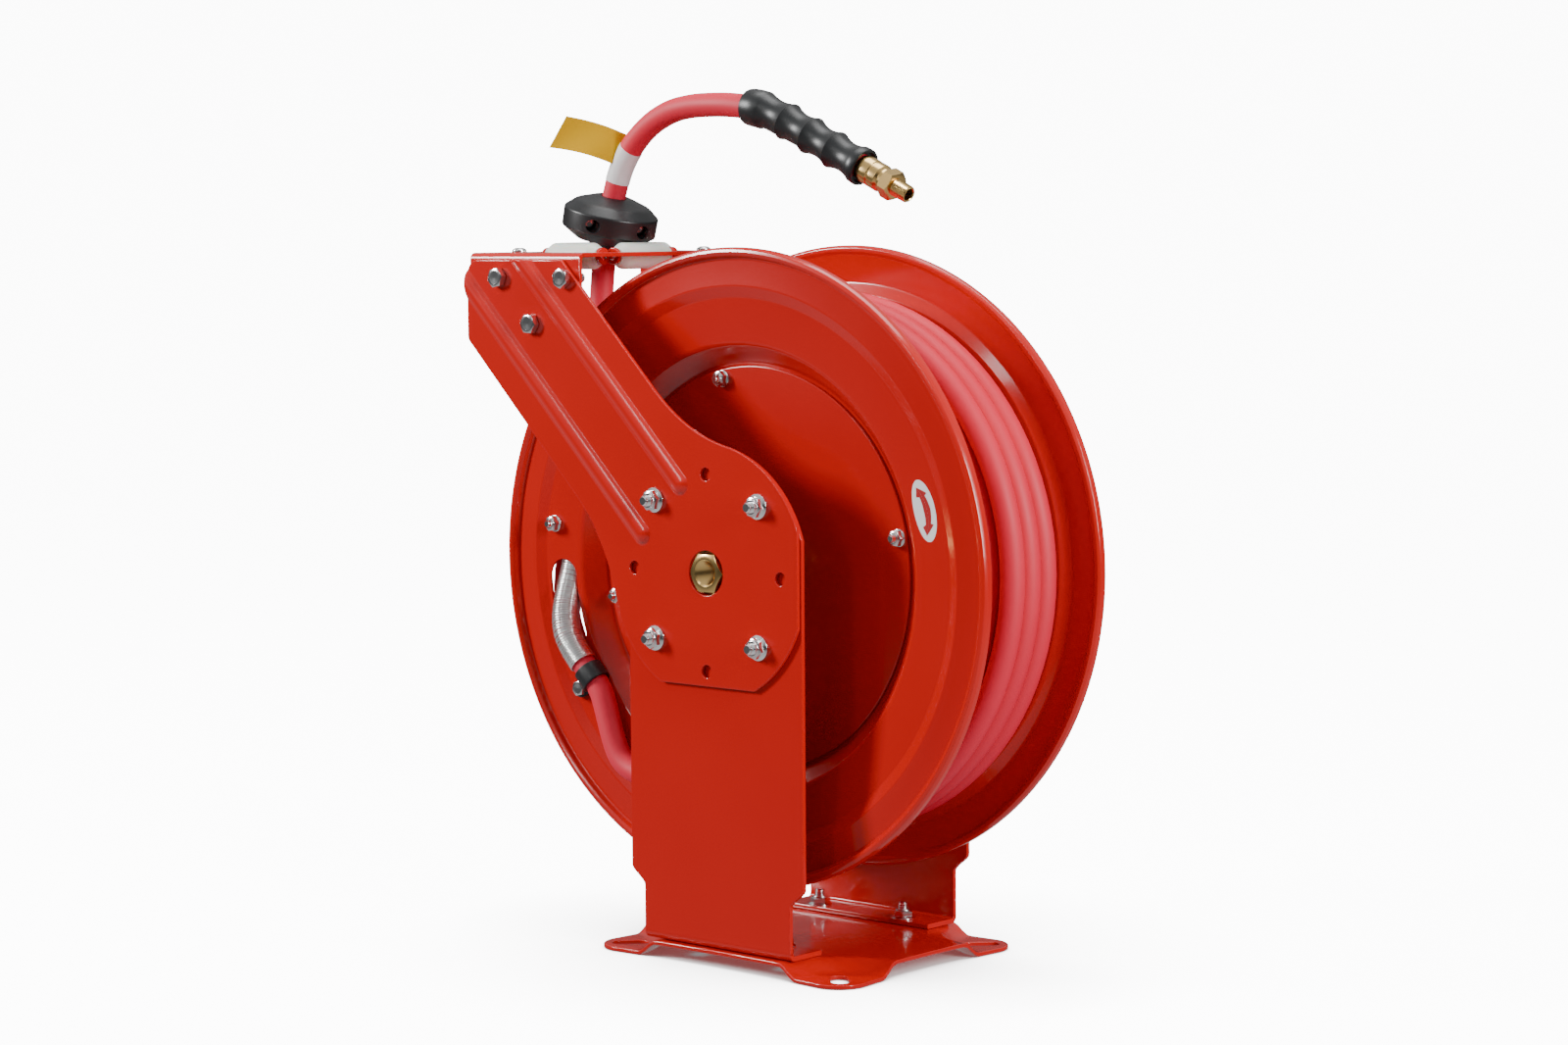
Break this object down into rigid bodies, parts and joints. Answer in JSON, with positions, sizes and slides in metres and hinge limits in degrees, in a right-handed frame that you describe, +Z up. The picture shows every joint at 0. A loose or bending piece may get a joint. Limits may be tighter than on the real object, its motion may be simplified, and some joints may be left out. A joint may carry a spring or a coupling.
{
  "type": "spring-rewind air hose reel",
  "caption": "Open-drum hose reel on a pedestal base, with two guide arms, a four-roller hose guide, a wound rubber hose, a ball stop and a gripped end fitting.",
  "frame": {"origin": "on the floor, under the middle of the reel's overall length and width without the free hose end", "axes": "+Z up, +Y along the drum's axis towards the far side (away from the swivel inlet), -X towards the guide arms' heads"},
  "size_m": [0.4626, 0.2148, 0.6153],
  "materials": {
    "red_paint": "gloss red powder coat",
    "zinc_steel": "bright zinc plate",
    "bare_steel": "plain steel",
    "brass": "machined",
    "bronze": "sintered bronze",
    "hose_rubber": "matte red rubber",
    "black_plastic": "satin black",
    "nylon": "ivory nylon"
  },
  "bodies": {
    "frame": {"axle_nut": "zinc_steel", "axle_shaft": "bare_steel", "base_plate": "red_paint", "far_arm_bolt_1": "zinc_steel", "far_arm_bolt_2": "zinc_steel", "far_arm_bolt_3": "zinc_steel", "far_arm_bolt_4": "zinc_steel", "far_ball_stop": "black_plastic", "far_base_bolt_1": "zinc_steel", "far_base_bolt_2": "zinc_steel", "far_bracket_bolt_1": "zinc_steel", "far_bracket_bolt_2": "zinc_steel", "far_bracket_bolt_3": "zinc_steel", "far_guide_arm": "red_paint", "far_pedestal": "red_paint", "front_roller_pin": "bare_steel", "hose_ferrule": "brass", "hose_fitting": "brass", "hose_grip": "black_plastic", "hose_tail": "hose_rubber", "left_roller_pin": "bare_steel", "near_arm_bolt_1": "zinc_steel", "near_arm_bolt_2": "zinc_steel", "near_arm_bolt_3": "zinc_steel", "near_arm_bolt_4": "zinc_steel", "near_ball_stop": "black_plastic", "near_base_bolt_1": "zinc_steel", "near_base_bolt_2": "zinc_steel", "near_bracket_bolt_1": "zinc_steel", "near_bracket_bolt_2": "zinc_steel", "near_bracket_bolt_3": "zinc_steel", "near_guide_arm": "red_paint", "near_pedestal": "red_paint", "pawl_pin": "zinc_steel", "rear_roller_pin": "bare_steel", "right_roller_pin": "bare_steel", "roller_bracket": "red_paint", "spring_arbor": "bare_steel", "swivel_inlet": "brass"},
    "drum": {"near_flange": "red_paint", "far_flange": "red_paint", "near_drum_disc": "red_paint", "far_drum_disc": "red_paint", "near_bush": "bronze", "far_bush": "bronze", "drum_core": "red_paint", "power_spring": "bare_steel", "ratchet_wheel": "bare_steel", "swivel_outlet": "brass", "hose_coil": "hose_rubber", "hose_lead": "hose_rubber", "spring_guard": "zinc_steel", "hose_clamp": "black_plastic", "clamp_bolt": "zinc_steel"},
    "pawl": {"pawl": "bare_steel"},
    "left_roller": {"left_roller": "nylon"},
    "right_roller": {"right_roller": "nylon"},
    "front_roller": {"front_roller": "nylon"},
    "rear_roller": {"rear_roller": "nylon"}
  },
  "joints": [
    {"name": "drum_turn", "type": "hinge", "parent": "frame", "child": "drum", "pos_m": [0.00525, 0, 0.278], "axis": [0, 1, 0], "range_deg": [0, 4590], "stiffness_Nm_per_rad": 0.098, "springref_deg": -2349.13},
    {"name": "left_roller_spin", "type": "hinge", "parent": "frame", "child": "left_roller", "pos_m": [-0.20875, 0, 0.497], "axis": [0, 1, 0], "continuous": true},
    {"name": "right_roller_spin", "type": "hinge", "parent": "frame", "child": "right_roller", "pos_m": [-0.14475, 0, 0.497], "axis": [0, 1, 0], "continuous": true},
    {"name": "front_roller_spin", "type": "hinge", "parent": "frame", "child": "front_roller", "pos_m": [-0.17675, -0.037, 0.497], "axis": [1, 0, 0], "continuous": true},
    {"name": "rear_roller_spin", "type": "hinge", "parent": "frame", "child": "rear_roller", "pos_m": [-0.17675, 0.037, 0.497], "axis": [1, 0, 0], "continuous": true},
    {"name": "pawl_swing", "type": "hinge", "parent": "frame", "child": "pawl", "pos_m": [-0.02154, 0.073, 0.34267], "axis": [0, 1, 0], "range_deg": [-12, 12.5], "stiffness_Nm_per_rad": 0.03}
  ]
}
